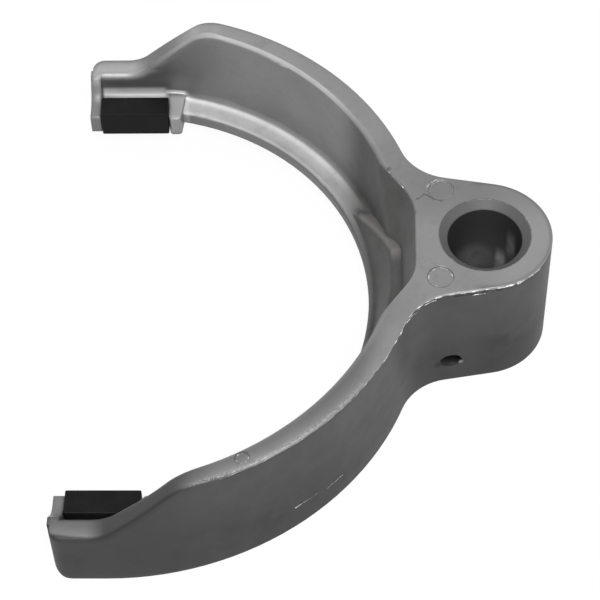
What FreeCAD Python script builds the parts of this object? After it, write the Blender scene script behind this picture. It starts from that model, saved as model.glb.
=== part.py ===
"""A die-cast shift fork with two clipped-on wear pads.

All lengths are in millimetres. The fork lies on its flat underside, which is the plane Z = 0.
The origin is where the axis of the rail bore meets that plane, +Z runs up the bore, and the two
arms reach out towards -X, one on each side of the plane Y = 0. The arm on the +Y side is the left
one, the arm on the -Y side is the right one.
"""
import FreeCAD, Part
import math
import os
import Sketcher
from FreeCAD import Placement, Rotation, Vector
from types import SimpleNamespace

SIZES = {
    # boss on the shift rail, and the flanks that run from it to the arms
    "height": 35.8,
    "boss_radius": 16.4,
    "flank_angle": 10.0,
    "root_blend": 14.0,
    "bore_radius": 9.1,
    "chamfer_width": 2.05,
    "chamfer_depth": 1.7,
    "top_edge_round": 0.5,
    "bottom_edge_round": 0.5,
    # arms: outer face, and the wall and web inside it
    "arm_radius": 75.3,
    "crotch_reach": 14.9,
    "wall_offset": 2.2,
    "wall_step": 4.4,
    "wall_draft": 1.6,
    "web_offset": 1.9,
    "web_step": 11.4,
    "web_bottom": 7.1,
    "web_top": 10.4,
    "foot_round": 2.6,
    "web_round": 1.1,
    "rim_round": 1.5,
    # lowered tips, and the ramps that lead down to them
    "tip_length": 12.4,
    "tip_height": 18.1,
    "tip_corner": 3.2,
    "tip_thickness": 6.1,
    "tip_wall_blend": 30.0,
    "toe_round": 4.5,
    "ramp_rise": 19.0,
    "ramp_angle": 43.5,
    "ramp_top_round": 11.0,
    "ramp_foot_round": 8.0,
    # recess behind the crotch, and the rib that ties the arms together there
    "recess_wall": 16.7,
    "recess_half_width": 11.5,
    "recess_side_angle": 55.0,
    "recess_draft": 13.0,
    "recess_corner": 14.0,
    "rib_top": 20.8,
    "rib_top_half_width": 7.5,
    "rib_foot_half_width": 29.0,
    "rib_face_lean": 4.2,
    "rib_edge_round": 1.5,
    # ears that hold each wear pad, and the rib that closes the tip
    "pad_length": 18.1,
    "pad_clearance": 0.15,
    "pad_end": 2.5,
    "ear_overhang": 4.5,
    "tip_ear_top": 12.4,
    "root_ear_top": 11.7,
    "tip_ear_bottom": 6.2,
    "root_ear_bottom": 5.5,
    "tip_ear_thickness": 2.7,
    "root_ear_thickness": 3.2,
    "ear_round": 1.0,
    "hollow_round": 6.0,
    # roll-pin hole through the boss and the marks left by the ejector pins
    "pin_radius": 2.2,
    "pin_height": 8.4,
    "pin_turn": 23.8,
    "mark_depth": 0.3,
    "large_mark": 3.15,
    "small_mark": 1.7,
    # wear pad: a U that grips the edge of the web
    "pad_face_step": 4.9,
    "pad_depth": 6.5,
    "pad_bottom": 6.0,
    "pad_top": 13.8,
    "pad_nose": 4.0,
    "slot_clearance": 0.05,
    "pad_round": 0.4,
}

doc = FreeCAD.newDocument("shift_fork")
sheet = doc.addObject("Spreadsheet::Sheet", "sizes")
for row, (alias, number) in enumerate(SIZES.items(), start=1):
    sheet.set(f"A{row}", alias)
    sheet.set(f"B{row}", str(number))
    sheet.setAlias(f"B{row}", alias)
doc.recompute()


class Size:
    """A number together with the size-sheet formula that gives it."""

    def __init__(self, value, formula):
        self.value = value
        self.formula = formula

    def joined(self, sign, other, value):
        return Size(value, f"({self.formula} {sign} {as_size(other).formula})")

    def __add__(self, other):
        return self.joined("+", other, self.value + as_size(other).value)

    def __sub__(self, other):
        return self.joined("-", other, self.value - as_size(other).value)

    def __mul__(self, other):
        return self.joined("*", other, self.value * as_size(other).value)

    def __truediv__(self, other):
        return self.joined("/", other, self.value / as_size(other).value)

    def __neg__(self):
        return as_size(0) - self

    def __radd__(self, other):
        return as_size(other) + self

    def __rsub__(self, other):
        return as_size(other) - self


def as_size(thing):
    """A plain number counts as a size with itself as its formula."""
    return thing if isinstance(thing, Size) else Size(float(thing), repr(float(thing)))


def sine(angle):
    return Size(math.sin(math.radians(angle.value)), f"sin({angle.formula})")


def cosine(angle):
    return Size(math.cos(math.radians(angle.value)), f"cos({angle.formula})")


def tangent(angle):
    return Size(math.tan(math.radians(angle.value)), f"tan({angle.formula})")


S = SimpleNamespace(**{alias: Size(number, f"sizes.{alias}") for alias, number in SIZES.items()})

# Sizes that follow from others: centres and radii of the arms, and places along X
arm_centre = S.arm_radius + S.crotch_reach
wall_centre = arm_centre + S.wall_offset
wall_radius = S.arm_radius - S.wall_step
wall_foot = wall_radius - (S.height - S.web_top) * tangent(S.wall_draft)
web_centre = arm_centre + S.web_offset
web_radius = S.arm_radius - S.web_step
rib_face_top = wall_radius - 0.9
tip_end = arm_centre + S.tip_length
tip_wall = S.arm_radius - S.tip_thickness
ear_inner = web_radius - S.ear_overhang
pad_face = web_radius - S.pad_face_step
pad_middle = tip_end - S.pad_end - S.pad_length / 2


def tie(thing, prop, size, unit="mm"):
    """Let a property of an object follow the size sheet."""
    thing.setExpression(prop, f"({as_size(size).formula}) * 1{unit}")


def plane_of(body, role):
    """One of the three planes of the body's own origin."""
    return next(feature for feature in body.Origin.OriginFeatures if feature.Role == role)


def put_on(feature, body, role, x=0, y=0, z=0, turn=None):
    """Attach a sketch or primitive to an origin plane, shifted in that plane's own frame."""
    feature.AttachmentSupport = (plane_of(body, role), [""])
    feature.MapMode = "FlatFace"
    feature.AttachmentOffset = Placement(Vector(), turn or Rotation())
    for axis, shift in (("x", x), ("y", y), ("z", z)):
        tie(feature, f"AttachmentOffset.Base.{axis}", shift)


def primitive(body, kind, name, role="XY_Plane", x=0, y=0, z=0, turn=None, **sizes):
    """A cylinder, cone or box added to the body or taken away from it."""
    feature = body.newObject(f"PartDesign::{kind}", name)
    put_on(feature, body, role, x, y, z, turn)
    for prop, size in sizes.items():
        tie(feature, prop, size, "deg" if prop == "Angle" else "mm")
    return feature


def limit(sketch, kind, *where, size):
    """A dimension of the sketch that follows the size sheet."""
    size = as_size(size)
    index = sketch.addConstraint(Sketcher.Constraint(kind, *where, size.value))
    tie(sketch, f"Constraints[{index}]", size)


def pin_down(sketch, geometry, end, x, y):
    """Fix one point of the sketch by its two coordinates."""
    limit(sketch, "DistanceX", -1, 1, geometry, end, size=x)
    limit(sketch, "DistanceY", -1, 1, geometry, end, size=y)


def rounded_corner(before, corner, after, radius):
    """Centre and two tangent points of an arc that rounds a corner."""
    to_before = (before - corner).normalize()
    to_after = (after - corner).normalize()
    half = to_before.getAngle(to_after) / 2
    middle = (to_before + to_after).normalize()
    centre = corner + middle * (radius / math.sin(half))
    run = radius / math.tan(half)
    return centre, corner + to_before * run, corner + to_after * run


def outline(body, name, role, corners, **offset):
    """A sketch with one closed outline through corners (x, y) or (x, y, rounding).

    Each corner is tied to the size sheet. A rounded corner is kept as a construction point where
    its two straight sides would meet, with an arc tangent to both of them.
    """
    sketch = body.newObject("Sketcher::SketchObject", name)
    put_on(sketch, body, role, **offset)
    points = [Vector(as_size(c[0]).value, as_size(c[1]).value, 0) for c in corners]
    count = len(corners)
    starts, ends, arcs = list(points), list(points), {}
    for i, corner in enumerate(corners):
        if len(corner) == 3:
            radius = corner[2].value
            centre, ends[i], starts[i] = rounded_corner(
                points[i - 1], points[i], points[(i + 1) % count], radius)
            first, last = ends[i] - centre, starts[i] - centre
            forward = first.cross(last).z > 0
            angles = [math.atan2(v.y, v.x) for v in ((first, last) if forward else (last, first))]
            circle = Part.Circle(centre, Vector(0, 0, 1), radius)
            arcs[i] = (Part.ArcOfCircle(circle, *angles), 1 if forward else 2)
    lines = [sketch.addGeometry(Part.LineSegment(starts[i], ends[(i + 1) % count]))
             for i in range(count)]
    for i, corner in enumerate(corners):
        into, out = lines[i - 1], lines[i]
        if i not in arcs:
            sketch.addConstraint(Sketcher.Constraint("Coincident", into, 2, out, 1))
            pin_down(sketch, out, 1, corner[0], corner[1])
            continue
        shape, entry = arcs[i]
        arc = sketch.addGeometry(shape)
        point = sketch.addGeometry(Part.Point(points[i]), True)
        sketch.addConstraint(Sketcher.Constraint("Tangent", into, 2, arc, entry))
        sketch.addConstraint(Sketcher.Constraint("Tangent", arc, 3 - entry, out, 1))
        sketch.addConstraint(Sketcher.Constraint("PointOnObject", point, 1, into))
        sketch.addConstraint(Sketcher.Constraint("PointOnObject", point, 1, out))
        pin_down(sketch, point, 1, corner[0], corner[1])
        limit(sketch, "Radius", arc, size=corner[2])
    sketch.Visibility = False
    return sketch


def extruded(body, kind, name, sketch, length=None, draft=None, both_ways=False):
    """A pad or pocket of the sketch, through everything where no length is given."""
    feature = body.newObject(f"PartDesign::{kind}", name)
    feature.Profile = sketch
    feature.Midplane = both_ways
    if length is None:
        feature.Type = "ThroughAll"
    else:
        tie(feature, "Length", length)
    if draft is not None:
        tie(feature, "TaperAngle", draft, "deg")
    return feature


def round_edges(body, name, radius, test):
    """Round every edge of the body whose middle point passes the test."""
    doc.recompute()
    chosen = []
    for number, edge in enumerate(body.Tip.Shape.Edges, start=1):
        middle = edge.valueAt((edge.FirstParameter + edge.LastParameter) / 2)
        if test(edge, middle):
            chosen.append(f"Edge{number}")
    print(f"{name}: {len(chosen)} edges")
    fillet = body.newObject("PartDesign::Fillet", name)
    fillet.Base = (body.Tip.BaseFeature if body.Tip == fillet else body.Tip, chosen)
    tie(fillet, "Radius", radius)
    return fillet


def upright(edge):
    """True for a straight edge that runs along Z."""
    return edge.Curve.TypeId == "Part::GeomLine" and abs(edge.tangentAt(edge.FirstParameter).z) > 0.999


def on_arc(edge, radius, centre):
    """True for an arc of this radius round a point this far behind the bore."""
    curve = edge.Curve
    return (curve.TypeId == "Part::GeomCircle" and abs(curve.Radius - radius.value) < 0.01
            and abs(curve.Center.x + centre.value) < 0.01)


def on_web_top(edge, middle, radius, centre):
    """True for an arc of this radius that lies in the top face of the web."""
    return on_arc(edge, radius, centre) and abs(middle.z - S.web_top.value) < 0.01


def on_rim(edge, middle):
    """True for the edge where the inner wall meets the top of the arm, ramp or tip."""
    steep = abs(edge.tangentAt((edge.FirstParameter + edge.LastParameter) / 2).z) > 0.8
    radius = math.hypot(middle.x + wall_centre.value, middle.y)
    at_wall = wall_radius.value - 2 < radius < wall_radius.value + 0.6
    at_end = abs(middle.x + tip_end.value) < 0.1
    return middle.z > S.tip_height.value - 0.01 and at_wall and not steep and not at_end


def on_boss_rim(edge, height):
    """True for the outer edge of the boss at this height."""
    curve = edge.Curve
    return (curve.TypeId == "Part::GeomCircle" and abs(curve.Center.x) < 0.01
            and abs(curve.Radius - S.boss_radius.value) < 0.01
            and abs(edge.Vertexes[0].Z - height) < 0.01)


def on_rib_front(edge, middle):
    """True for the front edge of the crotch rib, between its top or ramps and its conical face."""
    radius = math.hypot(middle.x + wall_centre.value, middle.y)
    lean = (S.rib_top.value - middle.z) / (S.rib_top.value - S.web_top.value)
    face = rib_face_top.value - S.rib_face_lean.value * lean
    return (S.web_top.value + 0.2 < middle.z < S.rib_top.value + 0.01 and abs(radius - face) < 0.15
            and abs(middle.y) < S.rib_foot_half_width.value and edge.Length > 3)


fork = doc.addObject("PartDesign::Body", "fork_casting")
fork.Label = "fork_casting"

# Blank: boss, straight flanks, half disc of the arms and straight tips, all full height
primitive(fork, "AdditiveCylinder", "boss", Radius=S.boss_radius, Height=S.height)
primitive(fork, "AdditiveCylinder", "arm_disc", x=-arm_centre, turn=Rotation(Vector(0, 0, 1), -90),
          Radius=S.arm_radius, Height=S.height, Angle=180)
touch_x = S.boss_radius * sine(S.flank_angle)
touch_y = S.boss_radius * cosine(S.flank_angle)
flank_run = as_size(45)
flank_y = touch_y + (flank_run + touch_x) * tangent(S.flank_angle)
flanks = outline(fork, "flank_plan", "XY_Plane", [
    (touch_x, -touch_y),
    (touch_x, touch_y),
    (-flank_run, flank_y),
    (-flank_run, -flank_y),
])
extruded(fork, "Pad", "flanks", flanks, S.height)
tips = outline(fork, "tip_plan", "XY_Plane", [
    (-tip_end, -S.arm_radius),
    (-arm_centre, -S.arm_radius),
    (-arm_centre, S.arm_radius),
    (-tip_end, S.arm_radius),
])
extruded(fork, "Pad", "tips", tips, S.height)
primitive(fork, "SubtractiveCylinder", "sleeve_opening", x=-web_centre,
          Radius=web_radius, Height=S.height)
round_edges(fork, "root_blends", S.root_blend,
            lambda edge, middle: upright(edge) and -30 < middle.x < -10 and abs(middle.y) > 15)
round_edges(fork, "tip_corners", S.tip_corner,
            lambda edge, middle: upright(edge) and middle.x < -100 and abs(middle.y) > 70)

# Ring pocket down to the web, with a drafted wall and a rounded foot
primitive(fork, "SubtractiveCone", "ring_pocket", x=-wall_centre, z=S.web_top,
          Radius1=wall_foot, Radius2=wall_radius, Height=S.height - S.web_top)
# Straight inner walls of the tips
inside_wall = tip_wall + 2
tip_wall_root = -wall_centre + 16
tip_wall_plan = outline(fork, "tip_wall_plan", "XY_Plane", [
    (-tip_end, tip_wall),
    (tip_wall_root, tip_wall),
    (tip_wall_root, inside_wall),
    (-tip_end, inside_wall),
], z=S.web_bottom)
wall_block = extruded(fork, "Pad", "tip_wall", tip_wall_plan, S.height - S.web_bottom)
right_tip_wall = fork.newObject("PartDesign::Mirrored", "right_tip_wall")
right_tip_wall.Originals = [wall_block]
right_tip_wall.MirrorPlane = (plane_of(fork, "XZ_Plane"), [""])
fork.Tip = right_tip_wall
round_edges(fork, "tip_wall_blends", S.tip_wall_blend,
            lambda edge, middle: abs(abs(middle.y) - tip_wall.value) < 0.2
            and abs(edge.tangentAt(edge.FirstParameter).z) > 0.9 and middle.x > -arm_centre.value)
# Ramps and lowered tips, cut through both arms from the side
ramp_start = arm_centre - S.ramp_rise
ramp_run = (S.height - S.tip_height) / tangent(S.ramp_angle)
ramp_back = -ramp_start + 12
above = S.height + 5
beyond = -tip_end - 5
ramp_profile = outline(fork, "ramp_profile", "XZ_Plane", [
    (ramp_back, S.height),
    (-ramp_start, S.height, S.ramp_top_round),
    (-ramp_start - ramp_run, S.tip_height, S.ramp_foot_round),
    (beyond, S.tip_height),
    (beyond, above),
    (ramp_back, above),
])
extruded(fork, "Pocket", "ramps", ramp_profile, both_ways=True)

# Rounded rim, foot of the wall, and the hollow under the web
round_edges(fork, "rim_round", S.rim_round, on_rim)
round_edges(fork, "wall_foot_round", S.foot_round,
            lambda edge, middle: on_web_top(edge, middle, wall_foot, wall_centre))
hollow_mouth = wall_radius - 0.6
hollow_roof = hollow_mouth - 0.4
primitive(fork, "SubtractiveCone", "underside_pocket", x=-wall_centre,
          Radius1=hollow_mouth, Radius2=hollow_roof, Height=S.web_bottom)

# Rounded toes under both tips, cut from the side
toe_reach = S.toe_round + 1
outside = as_size(3)
toe_profile = outline(fork, "toe_profile", "XZ_Plane", [
    (-tip_end - outside, toe_reach),
    (-tip_end, toe_reach),
    (-tip_end, 0, S.toe_round),
    (-tip_end + toe_reach, 0),
    (-tip_end + toe_reach, -outside),
    (-tip_end - outside, -outside),
])
extruded(fork, "Pocket", "toes", toe_profile, both_ways=True)

# Recess behind the crotch, cut as deep as the web, then the rib that fills its lower part again
recess_run = as_size(20)
recess_spread = S.recess_half_width + recess_run * tangent(S.recess_side_angle)
recess_plan = outline(fork, "recess_plan", "XY_Plane", [
    (-S.recess_wall, -S.recess_half_width, S.recess_corner),
    (-S.recess_wall, S.recess_half_width, S.recess_corner),
    (-S.recess_wall - recess_run, recess_spread),
    (-S.recess_wall - recess_run, -recess_spread),
], z=S.height)
extruded(fork, "Pocket", "recess", recess_plan, S.height - S.web_top, draft=-S.recess_draft)
rib_front = as_size(45)
rib_slope = (S.rib_top - S.web_top) / (S.rib_foot_half_width - S.rib_top_half_width)
rib_back = S.recess_wall + 5.8
rib_root_back = rib_back - 3
for name, half_width, back in (
    ("crotch_rib", S.rib_foot_half_width, rib_back),
    ("crotch_rib_root", S.recess_half_width + 2.5, rib_root_back),
):
    shoulder = S.rib_top - (half_width - S.rib_top_half_width) * rib_slope
    section = outline(fork, f"{name}_section", "YZ_Plane", [
        (-half_width, S.web_bottom),
        (half_width, S.web_bottom),
        (half_width, shoulder),
        (S.rib_top_half_width, S.rib_top),
        (-S.rib_top_half_width, S.rib_top),
        (-half_width, shoulder),
    ], z=-rib_front)
    extruded(fork, "Pad", name, section, rib_front - back)
primitive(fork, "SubtractiveCone", "rib_face", x=-wall_centre, z=S.web_top,
          Radius1=rib_face_top - S.rib_face_lean, Radius2=rib_face_top, Height=S.rib_top - S.web_top)
primitive(fork, "SubtractiveCylinder", "web_edge", x=-web_centre,
          Radius=web_radius, Height=S.web_top)
round_edges(fork, "web_edge_round", S.web_round,
            lambda edge, middle: on_web_top(edge, middle, web_radius, web_centre))

# Small rounds at the top and foot of the boss, and a larger one along the front of the rib
round_edges(fork, "top_edge_round", S.top_edge_round,
            lambda edge, middle: on_boss_rim(edge, S.height.value))
round_edges(fork, "rib_edge_round", S.rib_edge_round, on_rib_front)
round_edges(fork, "bottom_edge_round", S.bottom_edge_round,
            lambda edge, middle: on_boss_rim(edge, 0))

# Left tip: two ears, and a hollow-topped rib between ear and wall
half_seat = S.pad_length / 2 + S.pad_clearance
hollow_floor = tip_wall - 4.5
tip_ear_section = outline(fork, "tip_ear_section", "YZ_Plane", [
    (ear_inner, S.tip_ear_bottom, S.ear_round),
    (ear_inner, S.tip_ear_top, S.ear_round),
    (hollow_floor, S.tip_ear_top, S.hollow_round),
    (tip_wall, S.tip_height),
    (inside_wall, S.tip_height),
    (inside_wall, S.tip_ear_bottom),
], z=-pad_middle - half_seat - S.tip_ear_thickness)
tip_ear = extruded(fork, "Pad", "tip_ear", tip_ear_section, S.tip_ear_thickness)
ear_root = -pad_middle + half_seat
ear_foot = ear_root + S.root_ear_thickness + 0.9
root_ear_plan = outline(fork, "root_ear_plan", "XY_Plane", [
    (ear_root, ear_inner, S.ear_round),
    (ear_root + S.root_ear_thickness, ear_inner, S.ear_round),
    (ear_foot, tip_wall - 2.2),
    (ear_foot, tip_wall),
    (ear_root, tip_wall),
], z=S.root_ear_bottom)
root_ear = extruded(fork, "Pad", "root_ear", root_ear_plan, S.root_ear_top - S.root_ear_bottom)
mirrored = fork.newObject("PartDesign::Mirrored", "right_tip")
mirrored.Originals = [tip_ear, root_ear]
mirrored.MirrorPlane = (plane_of(fork, "XZ_Plane"), [""])
fork.Tip = mirrored

# Bore with the chamfer at its mouth, and the roll-pin hole across it
primitive(fork, "SubtractiveCylinder", "rail_bore", Radius=S.bore_radius, Height=S.height)
chamfer_mouth = S.bore_radius + S.chamfer_width
primitive(fork, "SubtractiveCone", "bore_chamfer_top", z=S.height - S.chamfer_depth,
          Radius1=S.bore_radius, Radius2=chamfer_mouth, Height=S.chamfer_depth)
pin_run = as_size(50)
pin_hole = primitive(fork, "SubtractiveCylinder", "roll_pin_hole", "XZ_Plane",
                     x=pin_run / 2 * sine(S.pin_turn), y=S.pin_height,
                     z=-(pin_run / 2 * cosine(S.pin_turn)),
                     turn=Rotation(Vector(0, -1, 0), S.pin_turn.value),
                     Radius=S.pin_radius, Height=pin_run)
tie(pin_hole, "AttachmentOffset.Rotation.Angle", S.pin_turn, "deg")

# Shallow round marks of the ejector pins, on the boss and on the rim of the right arm
for name, behind, side, radius in (
    ("mark_boss_right", 11.1, -12.9, S.large_mark),
    ("mark_boss_left", 10.3, 14.1, S.large_mark),
    ("mark_rim_right", 57.1, -64.2, S.small_mark),
):
    primitive(fork, "SubtractiveCylinder", name, x=-behind, y=side,
              z=S.height - S.mark_depth, Radius=radius, Height=S.mark_depth)


def wear_pad(name, side):
    """A U-shaped slipper on the web between the two ears; side is 1 for left and -1 for right."""
    pad = doc.addObject("PartDesign::Body", name)
    pad.Label = name
    section = outline(pad, f"{name}_section", "YZ_Plane", [
        (pad_face, S.pad_bottom, S.pad_round),
        (pad_face, S.pad_top, S.pad_round),
        (pad_face + S.pad_depth, S.pad_top, S.pad_round),
        (pad_face + S.pad_depth, S.web_top + S.slot_clearance),
        (pad_face + S.pad_nose, S.web_top + S.slot_clearance),
        (pad_face + S.pad_nose, S.web_bottom - S.slot_clearance),
        (pad_face + S.pad_depth, S.web_bottom - S.slot_clearance),
        (pad_face + S.pad_depth, S.pad_bottom, S.pad_round),
    ], z=-S.pad_length / 2)
    extruded(pad, "Pad", f"{name}_slipper", section, S.pad_length)
    round_edges(pad, f"{name}_end_round", S.pad_round,
                lambda edge, middle: upright(edge) and middle.y < pad_face.value + 0.5)
    pad.Placement = Placement(Vector(), Rotation(Vector(0, 0, 1), 0 if side > 0 else 180))
    tie(pad, "Placement.Base.x", -pad_middle)
    return pad


pieces = [fork, wear_pad("wear_pad_left", 1), wear_pad("wear_pad_right", -1)]
doc.recompute()

for item in doc.Objects:
    if "Invalid" in item.State or "Error" in item.State:
        raise SystemExit(f"{item.Name} did not build: {item.State}")
os.makedirs("parts", exist_ok=True)
for piece in pieces:
    shape = piece.Shape
    if shape.isNull() or not shape.isValid() or len(shape.Solids) != 1:
        raise SystemExit(f"{piece.Label} is not one sound solid")
    shape.exportStep(f"parts/{piece.Label}.step")
    print(piece.Label, f"{shape.Volume:.0f} mm3")
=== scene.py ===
# %% [markdown]
# # A die-cast shift fork
#
# The fork is one aluminium casting with two black wear pads clipped to its tips. Its solids come
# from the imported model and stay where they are. This script gives them their finishes, adds the
# thin flash left along the parting edges, and sets up the floor, the lamps and the camera.

# %% Load the frame
import functools
import math
import operator

import bpy
import numpy as np
from mathutils import Matrix, Vector


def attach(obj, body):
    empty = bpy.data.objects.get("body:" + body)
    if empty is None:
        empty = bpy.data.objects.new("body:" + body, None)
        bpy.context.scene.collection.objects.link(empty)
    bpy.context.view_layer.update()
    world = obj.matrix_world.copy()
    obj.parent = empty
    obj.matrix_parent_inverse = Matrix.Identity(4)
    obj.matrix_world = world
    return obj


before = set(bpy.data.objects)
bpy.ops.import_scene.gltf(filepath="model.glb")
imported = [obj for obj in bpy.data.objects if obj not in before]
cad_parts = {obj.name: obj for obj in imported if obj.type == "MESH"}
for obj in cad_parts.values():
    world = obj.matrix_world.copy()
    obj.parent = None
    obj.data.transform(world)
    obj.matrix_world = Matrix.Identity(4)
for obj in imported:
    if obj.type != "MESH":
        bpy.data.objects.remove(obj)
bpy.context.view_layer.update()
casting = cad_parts["fork_casting"]
pads = [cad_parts["wear_pad_left"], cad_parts["wear_pad_right"]]

# %% [markdown]
# ## Shader maths written as Python
#
# A material is a net of nodes, and most of them do plain sums. The class below wraps one output
# of a node, so that `1 - mask` or `height * 0.5` adds the Math node by itself, and `a | b` is the
# stronger of two masks. Every other node comes from one method, which takes its kind, its
# settings and what goes into its sockets.


# %% A value in a material
class Value:
    """One output of a node. Python's operators on it add Math nodes to the same material."""

    def __init__(self, tree, socket=None):
        self.tree = tree
        self.socket = socket

    def node(self, kind, settings=None, inputs=None, out=0):
        """Add a node: its settings first, then its sockets by name or number."""
        made = self.tree.nodes.new("ShaderNode" + kind)
        for name, setting in (settings or {}).items():
            setattr(made, name, setting)
        for name, given in (inputs or {}).items():
            if isinstance(given, Value):
                given.into(made, name)
            else:
                made.inputs[name].default_value = given
        return Value(self.tree, made.outputs[out] if made.outputs else None)

    def into(self, node, name):
        """Plug this value into a socket of a node."""
        self.tree.links.new(self.socket, node.inputs[name])

    def math(self, operation, *others):
        """A Math node on this value and up to two more values or numbers."""
        return self.node("Math", {"operation": operation}, dict(enumerate((self, *others))))

    def __add__(self, other):
        return self.math("ADD", other)

    def __radd__(self, other):
        return self.math("ADD", other)

    def __sub__(self, other):
        return self.math("SUBTRACT", other)

    def __rsub__(self, other):
        return self.math("MULTIPLY_ADD", -1.0, other)

    def __mul__(self, other):
        return self.math("MULTIPLY", other)

    def __rmul__(self, other):
        return self.math("MULTIPLY", other)

    def __truediv__(self, other):
        return self.math("DIVIDE", other)

    def __or__(self, other):
        return self.math("MAXIMUM", other)

    def __abs__(self):
        return self.math("ABSOLUTE")

    def hypot(self, other):
        """Length of the arrow with these two components."""
        return (self * self + other * other).math("SQRT")

    def fade(self, start, end):
        """0 where the value is at start, 1 where it is at end, and smooth between."""
        settings = {"interpolation_type": "SMOOTHSTEP"}
        return self.node("MapRange", settings, {"Value": self, "From Min": start, "From Max": end})

    def near(self, place, width):
        """1 where the value is at place, 0 once it is width away from it."""
        return abs(self - place).fade(width, 0.0)

    def tint(self, first, second):
        """The first colour where this mask is 0 and the second where it is 1."""
        settings = {"data_type": "RGBA", "clamp_factor": True}
        return self.node("Mix", settings, {0: self, 6: first, 7: second}, out=2)


print("class ready")

# %% A new material, its noise and its coats of paint
MM = 1000.0


def new_material(name):
    """An empty material with its Principled shader, and values for place and facing in mm."""
    material = bpy.data.materials.new(name)
    material.use_nodes = True
    tree = material.node_tree
    tree.nodes.clear()
    start = Value(tree)
    shader = start.node("BsdfPrincipled")
    start.node("OutputMaterial", inputs={"Surface": shader})
    place = start.node("TexCoord", out="Object")
    point = start.node("VectorMath", {"operation": "SCALE"}, {0: place, "Scale": MM})
    axes = [start.node("SeparateXYZ", inputs={0: point}, out=axis) for axis in "XYZ"]
    facing = start.node("NewGeometry", out="Normal")
    facing = [start.node("SeparateXYZ", inputs={0: facing}, out=axis) for axis in "XYZ"]
    return material, shader.socket.node, start, point, axes, facing


def noise(point, size, detail=2.0, roughness=0.5):
    """Soft noise from 0 to 1, whose lumps are about size mm across."""
    inputs = {"Vector": point, "Scale": 1.0 / size, "Detail": detail, "Roughness": roughness}
    return point.node("TexNoise", inputs=inputs)


def grey(value, warmth=0.0):
    """A near-neutral colour; warmth moves it a little towards brown."""
    return (value * (1 + warmth), value, value * (1 - warmth), 1)


def paint(colour, *coats):
    """Lay one coat after another over a colour. Each coat is a mask and the colour it brings."""
    for mask, fresh in coats:
        colour = mask.tint(colour, fresh)
    return colour


print("material tools ready")

# %% [markdown]
# ## Places on the casting
#
# A finish that depends on where it is needs to know the part: which faces are outer flanks, where
# the web of the arms lies, where the crotch and the bore are. Each of these becomes a mask from 0
# to 1, worked out from the place in millimetres and from the way the surface faces. The pattern
# then stays fixed to the metal, whatever the view. The arms reach towards -X, the far arm is on
# the +Y side, and the near arm, on the -Y side, is the one closest to the camera.

# %% Sizes that the finishes share with the solids, in mm
TOP = 35.8
BOSS_RADIUS = 16.4
BORE_RADIUS = 9.1
CHAMFER_MOUTH = 11.15
CHAMFER_FOOT = TOP - 1.7
WALL_CENTRE = -92.4
WEB_CENTRE = -92.1
ARM_CENTRE = -90.2
ARM_RADIUS = 75.3
FLANK_ANGLE = math.radians(10.0)
ROOT_BLEND = 14.0
PIN_HEIGHT = 8.4
PIN_TURN = math.radians(23.8)
PIN_RADIUS = 2.2

# ejector marks: x, y, radius, and how strongly the ring shows
MARKS = {"boss_right": (-11.1, -12.9, 3.15, 1.0), "boss_left": (-10.3, 14.1, 3.15, 0.15),
         "rim_right": (-57.1, -64.2, 1.7, 0.8)}
print("arms", ARM_RADIUS, "mm round a point", -ARM_CENTRE, "mm behind the bore")

# %% Distances and facings
skin, bsdf, start, point, (x, y, z), (east, north, up) = new_material("cast_skin")

across = abs(y)
from_rail = x.hypot(y)
from_sleeve = (x - WALL_CENTRE).hypot(y)
from_web = (x - WEB_CENTRE).hypot(y)
from_edge = ARM_RADIUS - (x - ARM_CENTRE).hypot(y)
outward = (east * (x - WALL_CENTRE) + north * y) / from_sleeve
near_side = y.fade(0.0, -6.0)
far_side = 1 - near_side
print("distances ready")

# %% Top, flanks, inner wall and crotch
level = up.fade(0.85, 0.97)
top_face = level * z.fade(TOP - 0.5, TOP - 0.2)
flank = outward.fade(0.05, 0.25) * up.fade(0.5, 0.2)
near_flank = flank * near_side * x.fade(-55.0, -80.0)
facing_in = outward.fade(0.0, -0.3)
wall = outward.fade(-0.3, -0.7) * up.fade(0.35, 0.15) * x.fade(-24.0, -36.0)

inside = outward.fade(0.1, -0.2) | up.fade(0.3, 0.6)
crotch = inside * x.fade(-42.0, -30.0) * z.fade(TOP - 0.2, TOP - 1.5) * from_rail.fade(11.5, 13.0)
crotch = crotch * across.fade(44.0, 32.0)
ridge = crotch * up.fade(0.5, 0.9) * z.fade(11.0, 12.5) * y.fade(3.0, 8.0)
print("large places ready")

# %% The web, and what surrounds each pad
web_edge = from_web.fade(65.4, 64.1) * z.fade(12.0, 11.0) * x.fade(-83.0, -80.0)
web = up.fade(0.55, 0.85) * z.fade(11.6, 10.8) * z.fade(8.6, 9.6) * x.fade(-27.0, -43.0)
web = web * x.fade(-83.0, -80.0) * (1 - 0.4 * web_edge)
web_inner = from_web.fade(67.5, 64.5) * web * x.fade(-62.0, -48.0)

# the strip of wall and rib above a pad, and its narrow end above the root ear
behind_pad = across.fade(67.0, 68.3)
strip = z.fade(14.2, 12.8) * z.fade(10.9, 11.5) * x.fade(-82.0, -84.0) * x.fade(-100.5, -99.5)
strip_end = z.fade(13.0, 12.3) * z.fade(11.5, 11.7) * x.fade(-76.5, -78.5) * x.fade(-85.0, -83.0)
shelf = (strip | strip_end) * behind_pad * facing_in

tip_ear = x.fade(-99.8, -100.3)
root_ear = x.fade(-83.0, -82.0) * x.fade(-76.0, -77.0)
ear = (tip_ear | root_ear) * z.fade(17.0, 16.0) * across.fade(68.5, 67.0) * z.fade(3.0, 8.0)

toward_tip = facing_in * x.fade(-58.0, -84.0) * (1 - ear)
tip_pocket = facing_in * x.fade(-66.0, -86.0) * z.fade(20.0, 16.5) * across.fade(62.0, 67.0)
tip_pocket = tip_pocket * (1 - ear)
print("web and seats ready")

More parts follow.
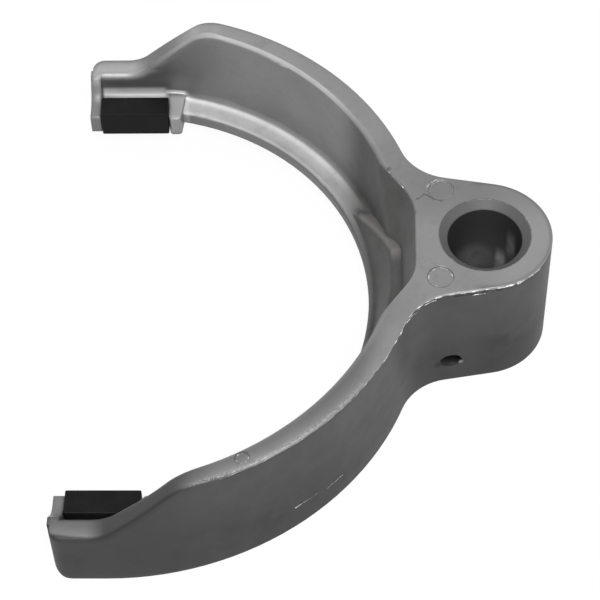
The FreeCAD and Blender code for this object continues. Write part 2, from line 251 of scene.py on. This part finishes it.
# %% Rims, ramps and lowered tips
tip_level = z.fade(17.0, 18.0)
ramp = up.fade(0.97, 0.85) * up.fade(0.5, 0.65) * z.fade(17.0, 20.0) * x.fade(-68.0, -72.0)

# near arm: painted shade darkens the rim inwards, the ramp, and the outer edge from there on
rim_shade = near_side * level * from_edge.fade(0.2, 4.6) * x.fade(-20.0, -32.0)
near_ramp_shade = near_side * x.fade(-62.0, -76.0) * up.fade(0.2, 0.5) * tip_level
near_ramp_shade = near_ramp_shade * (1 - 0.95 * x.fade(-88.0, -94.5) * level)
outer_edge_shade = from_edge.fade(1.3, 0.3) | across.fade(74.0, 75.0) * x.fade(-88.0, -90.0)
outer_edge_shade = outer_edge_shade * near_side * x.fade(-48.0, -68.0) * up.fade(0.15, 0.4)

# far arm: painted highlights on the tip's top and the rounded inner rim
far_tip_highlight = x.fade(-80.0, -92.0) * up.fade(0.6, 0.9) * far_side * tip_level
far_tip_highlight = far_tip_highlight * (0.25 + 0.75 * across.fade(75.0, 71.5))
lip = up.fade(0.3, 0.6) * up.fade(0.985, 0.93) * outward.fade(-0.05, -0.2) * z.fade(15.5, 16.5)
lip = lip * x.fade(-26.0, -40.0) * far_side * (1 - 0.8 * x.fade(-70.0, -88.0))
print("rims ready")

# %% Bore, chamfer and roll-pin hole
chamfer = from_rail.fade(CHAMFER_MOUTH + 0.05, CHAMFER_MOUTH - 0.05)
chamfer = chamfer * z.fade(TOP - 0.02, TOP - 0.12)
bore = from_rail.fade(BORE_RADIUS + 0.15, BORE_RADIUS)
bore = bore * z.fade(CHAMFER_FOOT + 0.1, CHAMFER_FOOT - 0.1)
pin_offset = (x * math.cos(PIN_TURN) - y * math.sin(PIN_TURN)).hypot(z - PIN_HEIGHT)
pin_hole = pin_offset.fade(PIN_RADIUS + 0.25, PIN_RADIUS - 0.05) * from_rail.fade(9.0, 9.3)
print("holes ready:", len(skin.node_tree.nodes), "nodes so far")

# %% [markdown]
# ## The casting's skin
#
# A die casting is not bright metal. It carries a dull grey skin with a fine pebbled grain. Shade is
# painted into its colour on the outer flanks, in corners, in the crotch and in the holes, and
# painted light brightens the web inside the arms, a few rounded edges and the tip tops. Broad
# clouds and smaller blotches keep any face from being one flat grey.

# %% Clouds, blotches and painted corner shade
# how far the painted corner shade spreads out of a corner, in metres
CORNER_SHADE_REACH = 0.005

broad = noise(point, 18.0, detail=3.0, roughness=0.6)
blotch = noise(point, 4.5, detail=4.0, roughness=0.65)
speck = noise(point, 1.3, detail=3.0, roughness=0.7)
mottle = blotch.fade(0.3, 0.8)

# painted shade in corners: darker where ambient occlusion finds nearby surfaces
hollow = start.node("AmbientOcclusion", {"samples": 8}, {"Distance": CORNER_SHADE_REACH}, out="AO")
corner_shade = (1 - hollow.fade(0.2, 0.8)) * (0.6 + 0.4 * blotch) * (1 - web)
# painted shade on the outer flanks, darker towards the bottom and broken by clouds
flank_shade = z.fade(34.0, 4.0) * 0.75 + 0.45 * broad.fade(0.3, 0.7) * (0.5 + 0.5 * blotch)
print("clouds ready")

# %% Skin colour
colour = paint(
    broad.fade(0.3, 0.7).tint(grey(0.235), grey(0.275)),
    (blotch.fade(0.45, 0.75) * 0.6, grey(0.200)),
    # top faces: painted light at the boss's free end, painted shade at its back and outer edge
    (x.fade(-6.0, 8.0) * level * 0.6, grey(0.320)),
    (y.fade(2.0, 14.0) * x.fade(-30.0, -10.0) * level * 0.45, grey(0.150)),
    (from_rail.fade(15.0, 16.3) * x.fade(-4.0, 0.0) * level * 0.5, grey(0.090)),
    # painted shade on the inner walls, ramps, rims and towards the tips
    (wall * 0.25, grey(0.150)),
    (ramp * 0.6, grey(0.120)),
    (toward_tip * 0.6, grey(0.110)),
    # painted light lifts the tip pockets out of the shade painted towards the tips
    (tip_pocket * 0.8, grey(0.240)),
    (rim_shade * 0.7, grey(0.110)),
    (near_ramp_shade * 0.92, grey(0.050)),
    # painted highlights on the far tip's top and the rounded inner rim
    (far_tip_highlight * 0.6, grey(0.400)),
    (lip * (0.5 + 0.5 * blotch), grey(0.560)),
    # painted light on the root ears and painted shade on the tip ears
    (ear * 0.8, tip_ear.tint(grey(0.560), grey(0.210))),
    # outer flanks: painted shade, darker towards the bottom, on the near arm and at its outer edge
    (flank, flank_shade.tint(grey(0.102), grey(0.043))),
    (near_flank * 0.7, grey(0.042)),
    (outer_edge_shade * 0.85, grey(0.030)),
    # crotch, web and the strips above the pads: painted shade and painted light
    (crotch * 0.92, mottle.tint(grey(0.076, 0.02), grey(0.054, 0.02))),
    # painted light on the ridge, the web and the strips; painted shade at the web's edges
    (ridge * 0.65, grey(0.290, 0.05)),
    (web_edge * (0.4 + 0.3 * x.fade(-60.0, -45.0)), grey(0.160)),
    (web * 0.9, mottle.tint(grey(0.780), grey(0.640))),
    (web_inner * 0.4, grey(0.250)),
    (shelf * 0.95, grey(0.750)),
    # painted shade in corners; the cut faces, with painted shade in the bore
    (corner_shade * (1 - shelf) * (1 - 0.6 * tip_pocket), grey(0.060, 0.05)),
    (chamfer, grey(0.115)),
    (bore, grey(0.034)),
)
print("skin colour ready")

# %% [markdown]
# ## Small marks
#
# The fork carries a few scars: a crack-like line and a bright scratch beside the left ejector mark,
# a dragged lip beside the roll-pin hole, rings round the ejector marks and the chamfer, two nicks
# at the inner edge, a rubbed rim on the near arm and dull smudges on the flank. Light and shade are
# painted in among them: shade in the dragged lip and the roll-pin hole, a shadow under the flash,
# glints inside the ejector marks, a highlight on the rubbed rim and bright reflections in the bore.
# Each is a distance from a line, ring or spot, broken up by noise.


# %% Lines and spots
def along_line(x, y, first, last, width):
    """1 on the straight line between two points, and 0 from width mm away.

    The distance is to the line's nearest point, which is first + gone * direction, with gone kept
    between 0 and the line's length.
    """
    run_x, run_y = last[0] - first[0], last[1] - first[1]
    length = math.hypot(run_x, run_y)
    run_x, run_y = run_x / length, run_y / length
    gone = (x - first[0]) * run_x + (y - first[1]) * run_y
    gone = gone.math("MAXIMUM", 0.0).math("MINIMUM", length)
    return (x - first[0] - gone * run_x).hypot(y - first[1] - gone * run_y).fade(width, width * 0.3)


def spot(centre, size):
    """A soft round patch: 1 at its centre and 0 from size mm away."""
    away = (x - centre[0]).hypot(y - centre[1]).hypot(z - centre[2])
    return away.fade(size, size * 0.2)


print("lines and spots ready")

# %% Crack, scratch and rings
wander = (speck - 0.5) * 2.0
wx, wy = x + wander, y - wander
crack = along_line(wx, wy, (-16.5, 10.9), (-14.5, 12.9), 0.28)
crack = crack | along_line(wx, wy, (-14.5, 12.9), (-12.3, 11.3), 0.32)
crack = (crack | along_line(wx, wy, (-12.3, 11.3), (-9.9, 10.4), 0.26)) * top_face
scratch = along_line(wx, wy, (-11.3, 17.4), (-14.0, 15.2), 0.24) * top_face

# dark rings, the first of them round the chamfer, and a bright glint just inside each mark
mouth_ring = from_rail.near(CHAMFER_MOUTH, 0.30) * speck.fade(0.35, 0.5)
all_rings, all_glints = [mouth_ring * z.fade(TOP - 0.6, TOP - 0.2)], []
for mark_x, mark_y, mark_radius, strength in MARKS.values():
    away = (x - mark_x).hypot(y - mark_y)
    ring = away.near(mark_radius, 0.24) * (0.3 + 0.7 * speck.fade(0.4, 0.55)) * top_face
    all_rings.append(ring * strength)
    glint = away.near(mark_radius - 0.3, 0.25) * speck.fade(0.5, 0.56) * level
    all_glints.append(glint * z.fade(TOP - 0.6, TOP - 0.4) * strength)
rings = functools.reduce(operator.or_, all_rings)
glints = functools.reduce(operator.or_, all_glints)
print("rings:", len(all_rings), "glints:", len(all_glints))

# %% Smudges, nicks, worn places, and painted shade and highlights
# painted shade in the dragged lip beside the roll-pin hole
pin_lip_shade = spot((-10.9, -18.6, 7.5), 2.0) | spot((-9.6, -18.2, 7.9), 2.3)
pin_fleck = spot((-5.5, -17.4, 7.3), 0.9)
smudges = spot((5.4, -15.5, 11.3), 6.0) | spot((-98.1, -75.3, 9.0), 5.0)
smudges = (smudges | spot((-50.6, -64.0, 9.3), 6.0)) * blotch.fade(0.35, 0.6)
nicks = spot((-23.1, 21.1, 35.6), 0.9) | spot((-17.2, 7.3, 35.4), 1.1)
# painted shadow in a thin band under the flash
flash_shadow = z.near(TOP - 1.1, 0.6) * flank * near_side * x.fade(-24.0, -17.0) * x.fade(11.0, 7.0)
flash_shadow = flash_shadow * speck.fade(0.4, 0.6)

rough_band = noise(point, 0.5, detail=2.0, roughness=0.6)
# the near rim's rubbed outer edge, brightened further by a painted highlight
rubbed_edge_highlight = from_edge.fade(1.9, 0.3) * level * near_side * x.fade(-23.0, -36.0)
rubbed_edge_highlight = rubbed_edge_highlight * rough_band.fade(0.38, 0.60) * x.fade(-72.0, -64.0)

# painted reflections: bright patches on the bore's wall
bore_reflections = (x - 5.0).hypot(y - 7.6).fade(2.1, 0.6) * z.fade(21.5, 16.0)
bore_reflections = bore_reflections | (x - 7.2).hypot(y - 5.5).fade(2.3, 0.5) * z.near(23.5, 7.5) * 0.8
bore_reflections = bore_reflections | spot((-2.0, 8.7, 16.0), 7.0) * 0.3
bore_reflections = bore_reflections * bore * (0.4 + 0.6 * blotch.fade(0.3, 0.6))

colour = paint(
    colour,
    (crack * 0.7, grey(0.070)),
    (rings * 0.85, grey(0.075)),
    (scratch * 0.8, grey(0.520)),
    (glints, grey(0.720)),
    # the rubbed rim, brightened by a painted highlight
    (rubbed_edge_highlight * 0.6, grey(0.480)),
    (smudges * 0.85, grey(0.036)),
    (nicks * 0.6, grey(0.060)),
    # painted shadow under the flash, and painted shade in the dragged lip and the roll-pin hole
    (flash_shadow * 0.8, grey(0.015)),
    (pin_lip_shade * 0.9, grey(0.012)),
    (pin_hole, grey(0.010)),
    (pin_fleck * 0.8, grey(0.450)),
    # painted reflections in the bore
    (bore_reflections * 0.9, grey(0.340)),
)
print("marks ready")

# %% [markdown]
# ## Gloss, grain and softened edges
#
# The places with painted shade, and the cut places, are duller than the rest. The solids' edges are
# crisp, while a casting's are not, so two Bevel nodes bend the normal near the edges: 0.6 mm wide
# everywhere, and towards 2.6 mm on the arms, the tips and the crotch. The grain is a shallow bump
# on top of that.

# %% Gloss and normal
# widths of the softened edges and height of the grain, in metres
SHARP_EDGE = 0.0006
SOFT_EDGE = 0.0026
GRAIN_HEIGHT = 0.00006

dull = flank | crotch | corner_shade | chamfer | bore | pin_hole | near_ramp_shade | outer_edge_shade
metallic = (0.60 - 0.50 * dull) * (1 - 0.45 * web) * (1 - 0.6 * ear)
roughness = 0.36 + 0.08 * blotch + 0.12 * dull
grain = noise(point, 0.9, detail=3.0, roughness=0.6)
pores = noise(point, 0.35)
height = grain * 0.6 + pores * 0.4 + (scratch + glints) * 2.0 - crack * 3.0

sharp = start.node("Bevel", {"samples": 8}, {"Radius": SHARP_EDGE})
soft = start.node("Bevel", {"samples": 8}, {"Radius": SOFT_EDGE})
softened = x.fade(-60.0, -72.0) * (0.45 + 0.55 * z.fade(16.0, 17.5)) | crotch
softened = softened | x.fade(-25.0, -45.0) * z.fade(25.0, 30.0) * 0.45
settings = {"data_type": "VECTOR", "clamp_factor": True}
rounded = start.node("Mix", settings, {0: softened, 4: sharp, 5: soft}, out=1)
rounded = start.node("VectorMath", {"operation": "NORMALIZE"}, {0: rounded})
bump = start.node("Bump", inputs={"Strength": 0.35, "Distance": GRAIN_HEIGHT, "Height": height,
                                  "Normal": rounded})

bsdf.inputs["Specular IOR Level"].default_value = 0.3
colour.into(bsdf, "Base Color")
metallic.into(bsdf, "Metallic")
roughness.into(bsdf, "Roughness")
bump.into(bsdf, "Normal")
casting.data.materials.clear()
casting.data.materials.append(skin)
print("cast skin:", len(skin.node_tree.nodes), "nodes")

# %% [markdown]
# ## The wear pads
#
# The pads are moulded nylon, black and nearly matt, with the faint grain of the mould and
# slightly greyer clouds.

# %% The pads' material
nylon, bsdf, start, point, *_ = new_material("black_nylon")
cloud = noise(point, 4.0, detail=3.0)
fine = noise(point, 0.5)
bump = start.node("Bump", inputs={"Strength": 0.25, "Distance": 0.00004, "Height": fine})
bsdf.inputs["Specular IOR Level"].default_value = 0.11
cloud.fade(0.4, 0.8).tint(grey(0.006), grey(0.010)).into(bsdf, "Base Color")
(0.42 + 0.12 * cloud).into(bsdf, "Roughness")
bump.into(bsdf, "Normal")
for pad in pads:
    pad.data.materials.clear()
    pad.data.materials.append(nylon)
print("nylon:", len(nylon.node_tree.nodes), "nodes")

# %% [markdown]
# ## Flash on the parting edges
#
# Where the two halves of the die met, thin ragged metal was squeezed out and only partly trimmed.
# On the real fork it is a broken bright line along the near top edge, doubled at the root of the
# arm, with a few loose slivers. Each strand here is a tube along the edge, whose radius rises
# and falls with a sum of sine waves, so it thins out almost to nothing in the gaps.

# %% The edge that the flash follows
STEP = 0.1


def near_top_edge(first_x, last_angle):
    """Points on the near outline, STEP mm apart, from the arm to the boss.

    They follow four pieces in turn: the arm's circle, the blend arc that touches the arm and the
    flank, the straight flank, and the boss's circle. The blend's centre lies one arm radius plus
    one blend radius from the arm's centre, and one boss radius plus one blend radius along the
    flank's normal from the rail.
    """
    normal = np.array((math.sin(FLANK_ANGLE), math.cos(FLANK_ANGLE)))
    along = np.array((-math.cos(FLANK_ANGLE), math.sin(FLANK_ANGLE)))
    arm = np.array((ARM_CENTRE, 0.0))
    rise = BOSS_RADIUS + ROOT_BLEND
    reach = math.sqrt((ARM_RADIUS + ROOT_BLEND) ** 2 - (rise - normal @ arm) ** 2)
    blend = normal * rise + along * (along @ arm - reach)
    on_arm = arm + (blend - arm) * ARM_RADIUS / (ARM_RADIUS + ROOT_BLEND)
    on_flank = blend - normal * ROOT_BLEND
    on_boss = normal * BOSS_RADIUS

    def arc(centre, radius, start, end):
        count = max(2, int(abs(end - start) * radius / STEP))
        angles = np.linspace(start, end, count, endpoint=False)[:, None]
        return centre + radius * np.hstack((np.cos(angles), np.sin(angles)))

    def angle(vector):
        return math.atan2(vector[1], vector[0])

    straight = np.linspace(0, 1, int(np.linalg.norm(on_boss - on_flank) / STEP),
                           endpoint=False)[:, None]
    path = np.vstack((
        arc(arm, ARM_RADIUS, math.acos((first_x - ARM_CENTRE) / ARM_RADIUS), angle(on_arm - arm)),
        arc(blend, ROOT_BLEND, angle(on_arm - blend), angle(on_flank - blend)),
        on_flank + (on_boss - on_flank) * straight,
        arc(np.zeros(2), BOSS_RADIUS, angle(on_boss), math.radians(last_angle)),
    ))
    return path * (1, -1)


edge = near_top_edge(-62.0, 38.0)
print("edge:", len(edge), "points from", edge[0].round(1), "to", edge[-1].round(1))


# %% One strand of flash
def ragged(count, seed):
    """A wavering line from -1 to 1: five sine waves of 2 to 12 mm, with fixed random phases."""
    waves = np.random.default_rng(seed)
    lengths = waves.uniform(2.0, 12.0, 5)
    phases = waves.uniform(0, 2 * np.pi, 5)
    distance = np.arange(count)[:, None] * STEP
    return np.sin(2 * np.pi * distance / lengths + phases).sum(1) / 3.0


def strand(path, height, radius, seed, drift=0.05, sides=7):
    """A closed tube: each ring is centre + radius * (cos a * side + sin a * up), in metres.

    Side is level and square to the path, up is square to both. The radius and the centre waver,
    and no point rises above the casting's top face.
    """
    count = len(path)
    swell = np.clip(0.35 + 0.65 * ragged(count, seed), 0.06, 1.0) * radius
    swell[[0, -1]] = 0.01
    centre = np.column_stack((path, height + drift * ragged(count, seed + 1)))
    run = np.gradient(centre, axis=0)
    run /= np.linalg.norm(run, axis=1, keepdims=True)
    side = np.cross(run, (0.0, 0.0, 1.0))
    side /= np.linalg.norm(side, axis=1, keepdims=True)
    centre += side * (drift * ragged(count, seed + 2))[:, None]
    up = np.cross(side, run)
    turn = np.linspace(0, 2 * np.pi, sides, endpoint=False)[None, :, None]
    ring = np.cos(turn) * side[:, None] + np.sin(turn) * up[:, None]
    points = centre[:, None] + ring * swell[:, None, None]
    points[..., 2] = np.minimum(points[..., 2], TOP - 0.01)
    index = np.arange(count * sides).reshape(count, sides)
    here, there = index[:-1], index[1:]
    quads = np.stack((here, there, np.roll(there, -1, 1), np.roll(here, -1, 1)), axis=-1)
    faces = quads.reshape(-1, 4).tolist() + [index[0].tolist(), index[-1][::-1].tolist()]
    return points.reshape(-1, 3) / MM, faces


def joined(name, strands):
    """One smooth mesh object from several sets of points and faces."""
    points, faces, offset = [], [], 0
    for strand_points, strand_faces in strands:
        points.append(strand_points)
        faces += [[corner + offset for corner in face] for face in strand_faces]
        offset += len(strand_points)
    mesh = bpy.data.meshes.new(name)
    mesh.from_pydata(np.vstack(points).tolist(), [], faces)
    mesh.polygons.foreach_set("use_smooth", np.ones(len(faces), bool))
    thing = bpy.data.objects.new(name, mesh)
    bpy.context.scene.collection.objects.link(thing)
    return thing


print("strands ready")

# %% All strands in one piece
# radius in mm along the whole edge, as (share of the way, radius)
SWELLING = [(0, 0.04), (0.3, 0.06), (0.46, 0.08), (0.58, 0.20), (0.78, 0.20),
            (0.88, 0.22), (0.96, 0.34), (1, 0.04)]


def part_of_edge(first_x, last_x):
    """The points of the edge between two x places."""
    return edge[(edge[:, 0] > first_x) & (edge[:, 0] < last_x)]


radii = np.interp(np.linspace(0, 1, len(edge)), *zip(*SWELLING))
blob = edge[int(0.925 * len(edge)):int(0.975 * len(edge))]
root = part_of_edge(-19.5, -12.0)
dash = part_of_edge(-3.6, -0.4)
far_inner_edge = np.linspace((-23.2, 20.4), (-19.5, 15.0), 60)
strands = [
    strand(edge, TOP - 0.22, radii, seed=3),
    strand(blob, TOP - 0.35, 0.36, seed=5),
    strand(root, TOP - 1.0, 0.16, seed=11),
    strand(root[8:48], TOP - 1.7, 0.12, seed=14),
    strand(dash, TOP - 1.6, 0.15, seed=21),
    strand(part_of_edge(-46.0, -40.5), 8.6, 0.12, seed=31),
    strand(part_of_edge(-38.6, -34.6), 7.4, 0.07, seed=35),
    strand(far_inner_edge, TOP - 0.30, 0.30, seed=41),
]
flash = joined("parting_flash", strands)
print("flash:", len(strands), "strands,", len(flash.data.vertices), "points")

# %% Bright broken metal
bright, bsdf, start, point, *_ = new_material("bright_flash")
fleck = noise(point, 0.6)
fleck.fade(0.35, 0.65).tint(grey(0.42), grey(0.88)).into(bsdf, "Base Color")
(0.30 + 0.15 * fleck).into(bsdf, "Roughness")
bsdf.inputs["Metallic"].default_value = 0.7
flash.data.materials.append(bright)
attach(flash, "root")
print("flash finished")

# %% [markdown]
# ## Floor, lamps and camera
#
# The floor is plain and pale. A large soft lamp stands high above the camera, so that faces
# tilted towards it shine, level faces stay medium grey and the outer flank falls dark. Rays that
# look straight at the floor or the surroundings see plain white, and the floor still carries a
# share of the lamps' light, so the shadow of the part stays on it.

# %% Floor and surroundings
FLOOR_HALF = 1.5
WHITE = (1, 1, 1, 1)

# the share of a looked-at floor that glows, and how strongly, so that it comes out just white
GLOW_SHARE = 0.86
GLOW_STRENGTH = 1.11

floor_mesh = bpy.data.meshes.new("floor")
corners = np.array([(-1, -1, 0), (1, -1, 0), (1, 1, 0), (-1, 1, 0)], float) * FLOOR_HALF
floor_mesh.from_pydata(corners.tolist(), [], [(0, 1, 2, 3)])
floor = bpy.data.objects.new("floor", floor_mesh)
bpy.context.scene.collection.objects.link(floor)


def seen_directly(start):
    """1 for rays that look at the background: from the camera, off gloss or through glass."""
    camera, glossy, transmission = (start.node("LightPath", out=f"Is {kind} Ray")
                                    for kind in ("Camera", "Glossy", "Transmission"))
    return camera | glossy | transmission


paper = bpy.data.materials.new("pale_floor")
paper.use_nodes = True
paper.node_tree.nodes.clear()
start = Value(paper.node_tree)
diffuse = start.node("BsdfDiffuse", inputs={"Color": grey(0.40)})
glow = start.node("Emission", inputs={"Color": WHITE, "Strength": GLOW_STRENGTH})
share = seen_directly(start) * GLOW_SHARE
surface = start.node("MixShader", inputs={0: share, 1: diffuse, 2: glow})
start.node("OutputMaterial", inputs={"Surface": surface})
floor_mesh.materials.append(paper)

world = bpy.data.worlds.new("studio")
bpy.context.scene.world = world
world.use_nodes = True
world.node_tree.nodes.clear()
start = Value(world.node_tree)
dim = start.node("Background", inputs={"Color": WHITE, "Strength": 0.25})
plain = start.node("Background", inputs={"Color": WHITE, "Strength": 1.0})
surface = start.node("MixShader", inputs={0: seen_directly(start), 1: dim, 2: plain})
start.node("OutputWorld", inputs={"Surface": surface})
print("floor and surroundings ready")

# %% Lamps
MIDDLE = Vector((-0.045, 0.0, 0.02))

# compass angle (0 is -Y) and height angle in degrees, distance and size in metres, watts
LAMPS = {
    "key_lamp": (5, 60, 0.9, 0.32, 6.0),
    "side_lamp": (80, 25, 1.0, 0.6, 1.0),
    "far_lamp": (205, 40, 0.45, 0.2, 0.12),
}


def softbox(name, azimuth, elevation, distance, size, power):
    """A square lamp that faces the middle of the part."""
    turn, rise = math.radians(azimuth), math.radians(elevation)
    away = Vector((math.sin(turn) * math.cos(rise), -math.cos(turn) * math.cos(rise),
                   math.sin(rise)))
    lamp = bpy.data.lights.new(name, "AREA")
    lamp.size = size
    lamp.energy = power
    thing = bpy.data.objects.new(name, lamp)
    thing.location = MIDDLE + away * distance
    thing.rotation_euler = away.to_track_quat("Z", "Y").to_euler()
    bpy.context.scene.collection.objects.link(thing)


for name, lamp in LAMPS.items():
    softbox(name, *lamp)
print("lamps:", *LAMPS)

# %% Camera
VIEW_PIXELS = 600
FOCAL_PIXELS = 2152.4
SENSOR = 36.0
CAMERA_PLACE = Vector((-0.03027, -0.32694, 0.44535))
ELEVATION, YAW, ROLL = (math.radians(angle) for angle in (53.098, -2.687, 2.310))
forward = np.array((math.sin(YAW) * math.cos(ELEVATION), math.cos(YAW) * math.cos(ELEVATION),
                    -math.sin(ELEVATION)))
level_right = np.array((math.cos(YAW), -math.sin(YAW), 0.0))
level_down = np.cross(forward, level_right)
right = math.cos(ROLL) * level_right + math.sin(ROLL) * level_down
down = math.cos(ROLL) * level_down - math.sin(ROLL) * level_right

camera_data = bpy.data.cameras.new("camera")
camera_data.lens = FOCAL_PIXELS / VIEW_PIXELS * SENSOR
camera_data.sensor_width = SENSOR
camera = bpy.data.objects.new("camera", camera_data)
bpy.context.scene.collection.objects.link(camera)
turned = Matrix(np.column_stack((right, -down, -forward)).tolist()).to_4x4()
camera.matrix_world = Matrix.Translation(CAMERA_PLACE) @ turned
bpy.context.scene.camera = camera
bpy.context.scene.view_settings.view_transform = "Standard"
print("lens", round(camera_data.lens, 1), "mm")
